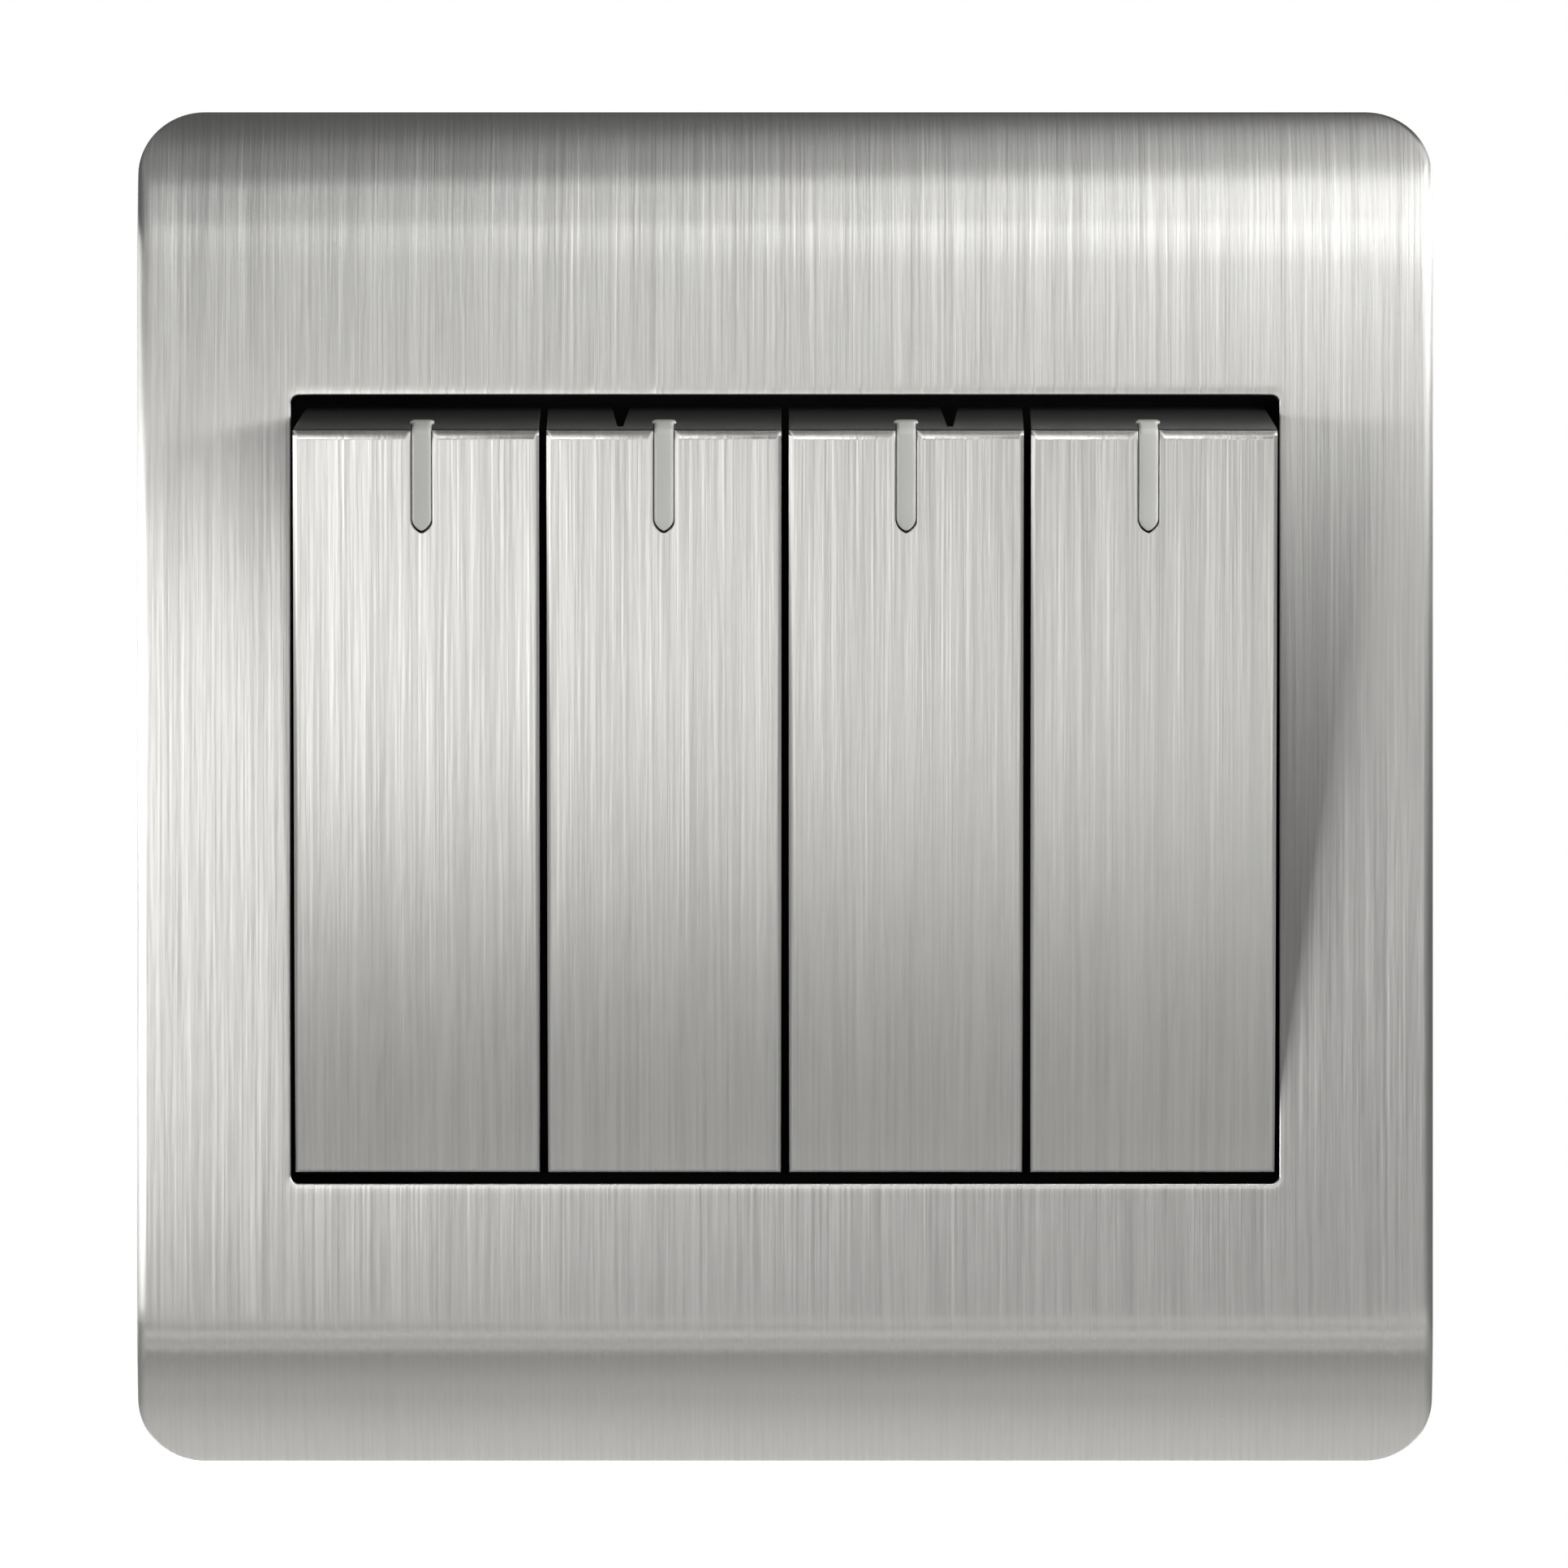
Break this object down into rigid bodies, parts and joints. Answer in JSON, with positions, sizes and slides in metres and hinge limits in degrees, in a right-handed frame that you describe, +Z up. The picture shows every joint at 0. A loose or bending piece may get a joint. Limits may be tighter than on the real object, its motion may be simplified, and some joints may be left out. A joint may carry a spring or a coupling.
{
  "type": "light switch",
  "caption": "Flush wall light switch: a brushed steel plate with a curved top and bottom, a row of tilting steel rockers with light pipes, and see-saw contacts in a moulded base",
  "frame": {"origin": "midway between the two fixing slots, in the wall plane", "axes": "+X to the right, +Y into the wall, +Z up; the front faces -Y"},
  "size_m": [0.086, 0.0345, 0.09],
  "materials": {
    "plate_steel": "brushed upright",
    "rocker_steel": "brushed upright",
    "rocker_plastic": "satin",
    "light_pipe": "milky",
    "carrier_plastic": "fine texture",
    "frame_plastic": "fine texture",
    "base_plastic": "fine texture",
    "plunger_nylon": "smooth",
    "spring_steel": "drawn",
    "copper_strip": "rolled",
    "contact_silver": "pressed",
    "terminal_brass": "rolled"
  },
  "bodies": {
    "housing": {"faceplate": "plate_steel", "faceplate_carrier": "carrier_plastic", "support_frame": "frame_plastic", "rear_base": "base_plastic", "wire_springs": "spring_steel", "common_terminal_1": "terminal_brass", "load_terminal_1": "terminal_brass", "fixed_contact_1": "contact_silver", "common_terminal_2": "terminal_brass", "load_terminal_2": "terminal_brass", "fixed_contact_2": "contact_silver", "common_terminal_3": "terminal_brass", "load_terminal_3": "terminal_brass", "fixed_contact_3": "contact_silver", "common_terminal_4": "terminal_brass", "load_terminal_4": "terminal_brass", "fixed_contact_4": "contact_silver"},
    "rocker_1": {"rocker_body_1": "rocker_plastic", "rocker_face_1": "rocker_steel", "indicator_1": "light_pipe", "plunger_spring_1": "spring_steel"},
    "plunger_pin_1": {"plunger_1": "plunger_nylon"},
    "arm_1": {"contact_arm_1": "copper_strip", "moving_contact_1": "contact_silver"},
    "rocker_2": {"rocker_body_2": "rocker_plastic", "rocker_face_2": "rocker_steel", "indicator_2": "light_pipe", "plunger_spring_2": "spring_steel"},
    "plunger_pin_2": {"plunger_2": "plunger_nylon"},
    "arm_2": {"contact_arm_2": "copper_strip", "moving_contact_2": "contact_silver"},
    "rocker_3": {"rocker_body_3": "rocker_plastic", "rocker_face_3": "rocker_steel", "indicator_3": "light_pipe", "plunger_spring_3": "spring_steel"},
    "plunger_pin_3": {"plunger_3": "plunger_nylon"},
    "arm_3": {"contact_arm_3": "copper_strip", "moving_contact_3": "contact_silver"},
    "rocker_4": {"rocker_body_4": "rocker_plastic", "rocker_face_4": "rocker_steel", "indicator_4": "light_pipe", "plunger_spring_4": "spring_steel"},
    "plunger_pin_4": {"plunger_4": "plunger_nylon"},
    "arm_4": {"contact_arm_4": "copper_strip", "moving_contact_4": "contact_silver"}
  },
  "joints": [
    {"name": "rocker_1_tilt", "type": "hinge", "parent": "housing", "child": "rocker_1", "pos_m": [-0.021, -0.0009, 0], "axis": [-1, 0, 0], "range_deg": [0, 12]},
    {"name": "plunger_1_slide", "type": "slide", "parent": "rocker_1", "child": "plunger_pin_1", "axis": [0, -0.9945, -0.1045], "range_m": [0, 0.0012], "stiffness_N_per_m": 300, "deforming": ["plunger_spring_1"]},
    {"name": "contact_arm_1_pivot", "type": "hinge", "parent": "housing", "child": "arm_1", "pos_m": [-0.021, 0.012, 0], "axis": [1, 0, 0], "range_deg": [0, 18]},
    {"name": "rocker_2_tilt", "type": "hinge", "parent": "housing", "child": "rocker_2", "pos_m": [-0.007, -0.0009, 0], "axis": [-1, 0, 0], "range_deg": [0, 12]},
    {"name": "plunger_2_slide", "type": "slide", "parent": "rocker_2", "child": "plunger_pin_2", "axis": [0, -0.9945, -0.1045], "range_m": [0, 0.0012], "stiffness_N_per_m": 300, "deforming": ["plunger_spring_2"]},
    {"name": "contact_arm_2_pivot", "type": "hinge", "parent": "housing", "child": "arm_2", "pos_m": [-0.007, 0.012, 0], "axis": [1, 0, 0], "range_deg": [0, 18]},
    {"name": "rocker_3_tilt", "type": "hinge", "parent": "housing", "child": "rocker_3", "pos_m": [0.007, -0.0009, 0], "axis": [-1, 0, 0], "range_deg": [0, 12]},
    {"name": "plunger_3_slide", "type": "slide", "parent": "rocker_3", "child": "plunger_pin_3", "axis": [0, -0.9945, -0.1045], "range_m": [0, 0.0012], "stiffness_N_per_m": 300, "deforming": ["plunger_spring_3"]},
    {"name": "contact_arm_3_pivot", "type": "hinge", "parent": "housing", "child": "arm_3", "pos_m": [0.007, 0.012, 0], "axis": [1, 0, 0], "range_deg": [0, 18]},
    {"name": "rocker_4_tilt", "type": "hinge", "parent": "housing", "child": "rocker_4", "pos_m": [0.021, -0.0009, 0], "axis": [-1, 0, 0], "range_deg": [0, 12]},
    {"name": "plunger_4_slide", "type": "slide", "parent": "rocker_4", "child": "plunger_pin_4", "axis": [0, -0.9945, -0.1045], "range_m": [0, 0.0012], "stiffness_N_per_m": 300, "deforming": ["plunger_spring_4"]},
    {"name": "contact_arm_4_pivot", "type": "hinge", "parent": "housing", "child": "arm_4", "pos_m": [0.021, 0.012, 0], "axis": [1, 0, 0], "range_deg": [0, 18]}
  ],
  "couplings": [
    {"joint": "contact_arm_1_pivot", "follows": "rocker_1_tilt", "ratio": 1.5},
    {"joint": "contact_arm_2_pivot", "follows": "rocker_2_tilt", "ratio": 1.5},
    {"joint": "contact_arm_3_pivot", "follows": "rocker_3_tilt", "ratio": 1.5},
    {"joint": "contact_arm_4_pivot", "follows": "rocker_4_tilt", "ratio": 1.5}
  ]
}
